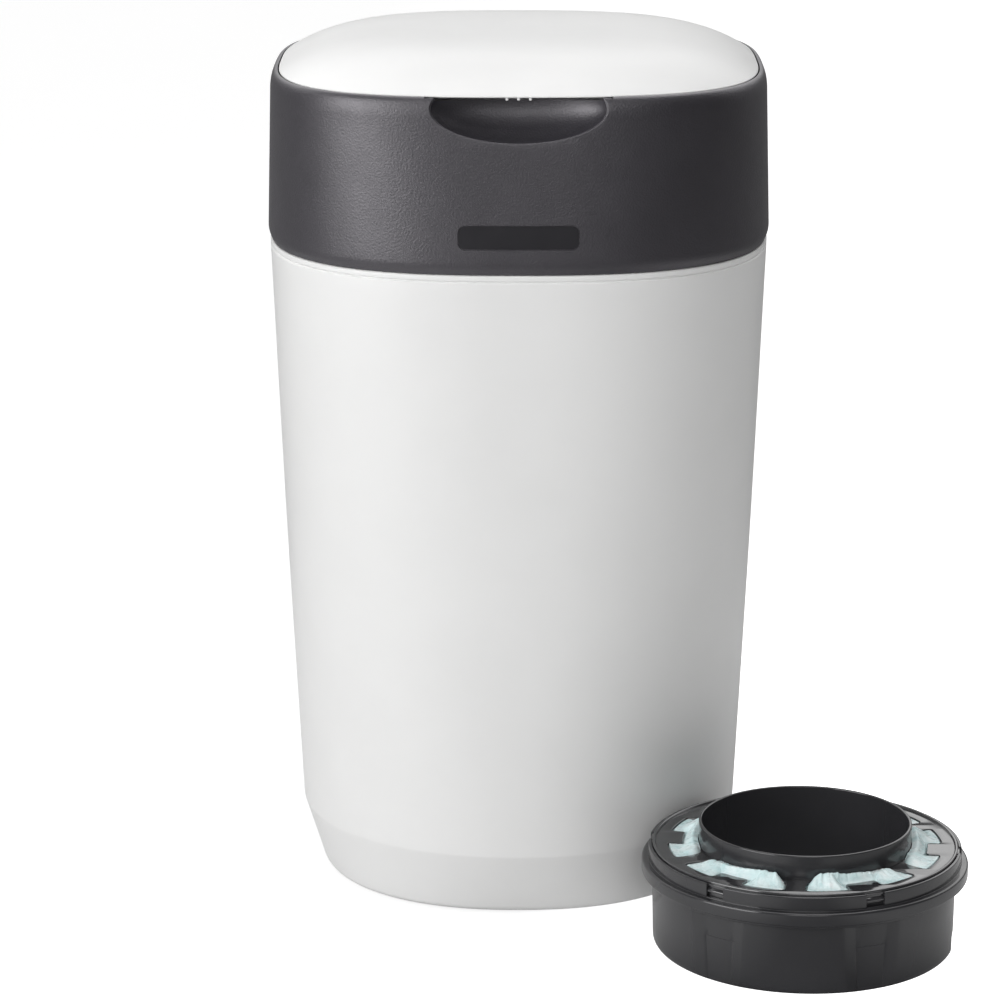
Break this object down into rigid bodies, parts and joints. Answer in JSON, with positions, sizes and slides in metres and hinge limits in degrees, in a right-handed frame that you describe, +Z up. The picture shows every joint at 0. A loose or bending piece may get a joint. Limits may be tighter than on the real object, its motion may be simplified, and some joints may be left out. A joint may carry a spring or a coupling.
{
  "type": "nappy bin",
  "caption": "Tapered nappy bin with a hinged domed lid, a tilting head with a twist ring for a film cassette, and a spare film cassette beside it.",
  "frame": {"origin": "on the floor under the middle of the tub, which is 1.5 mm below the tub's flat underside", "axes": "+Z up, -Y to the front where the finger scoop is, +X to the right seen from the front"},
  "size_m": [0.372, 0.3749, 0.4652],
  "materials": {
    "white_shell": "fine satin moulded white plastic",
    "white_inner": "plain moulded white plastic",
    "charcoal_shell": "fine-grained satin charcoal plastic",
    "charcoal_inner": "satin charcoal plastic",
    "grey_inner": "satin grey plastic",
    "cassette_plastic": "semi-gloss black plastic",
    "film": "thin pale blue-green film, folded",
    "rubber": "matt",
    "steel": "plain drawn steel"
  },
  "bodies": {
    "tub": {"tub_shell": "white_shell", "foot_pad_1": "rubber", "foot_pad_2": "rubber", "foot_pad_3": "rubber", "foot_pad_4": "rubber", "head_hinge_pin": "steel"},
    "head": {"collar_shell": "charcoal_shell", "deck_tray": "charcoal_inner", "deck_screw_1": "steel", "deck_screw_2": "steel", "deck_screw_3": "steel", "deck_screw_4": "steel", "gripper_ring": "grey_inner", "flap_pin_1": "steel", "flap_pin_2": "steel", "flap_pin_3": "steel", "flap_pin_4": "steel", "cutter_guard": "white_inner", "cutter_blade": "steel", "cutter_screw_1": "steel", "cutter_screw_2": "steel", "pawl_pin": "steel", "pawl_spring": "steel", "lid_hinge_pin": "steel"},
    "flap_back": {"flap_1": "grey_inner"},
    "flap_left": {"flap_2": "grey_inner"},
    "flap_front": {"flap_3": "grey_inner"},
    "flap_right": {"flap_4": "grey_inner"},
    "pawl": {"ratchet_pawl": "grey_inner"},
    "lid": {"lid_cap": "white_shell", "lid_liner": "white_inner", "lid_seal": "rubber"},
    "twister": {"twist_ring": "grey_inner", "cassette_body": "cassette_plastic", "cassette_cover": "cassette_plastic", "film_pack": "film"},
    "spare": {"spare_cassette_body": "cassette_plastic", "spare_cassette_cover": "cassette_plastic", "spare_film_pack": "film"}
  },
  "joints": [
    {"name": "head_tilt", "type": "hinge", "parent": "tub", "child": "head", "pos_m": [0, 0.139, 0.355], "axis": [-1, 0, 0], "range_deg": [0, 100]},
    {"name": "lid_open", "type": "hinge", "parent": "head", "child": "lid", "pos_m": [0, 0.1336, 0.446], "axis": [-1, 0, 0], "range_deg": [0, 95]},
    {"name": "cassette_twist", "type": "hinge", "parent": "head", "child": "twister", "pos_m": [0, 0, 0.408], "axis": [0, 0, 1], "continuous": true},
    {"name": "pawl_click", "type": "hinge", "parent": "head", "child": "pawl", "pos_m": [-0.0688, 0.0688, 0.4103], "axis": [0, 0, -1], "range_deg": [0, 8], "stiffness_Nm_per_rad": 0.05, "springref_deg": -5.73},
    {"name": "flap_back_dip", "type": "hinge", "parent": "head", "child": "flap_back", "pos_m": [0, 0.054, 0.3586], "axis": [1, 0, 0], "range_deg": [0, 60], "stiffness_Nm_per_rad": 0.02, "springref_deg": -17.19},
    {"name": "flap_left_dip", "type": "hinge", "parent": "head", "child": "flap_left", "pos_m": [-0.054, 0, 0.3586], "axis": [0, 1, 0], "range_deg": [0, 60], "stiffness_Nm_per_rad": 0.02, "springref_deg": -17.19},
    {"name": "flap_front_dip", "type": "hinge", "parent": "head", "child": "flap_front", "pos_m": [0, -0.054, 0.3586], "axis": [-1, 0, 0], "range_deg": [0, 60], "stiffness_Nm_per_rad": 0.02, "springref_deg": -17.19},
    {"name": "flap_right_dip", "type": "hinge", "parent": "head", "child": "flap_right", "pos_m": [0.054, 0, 0.3586], "axis": [0, -1, 0], "range_deg": [0, 60], "stiffness_Nm_per_rad": 0.02, "springref_deg": -17.19},
    {"name": "spare_lift", "type": "slide", "parent": "tub", "child": "spare", "axis": [0.5081, -0.4917, 0.7071], "range_m": [0, 0.12]}
  ]
}
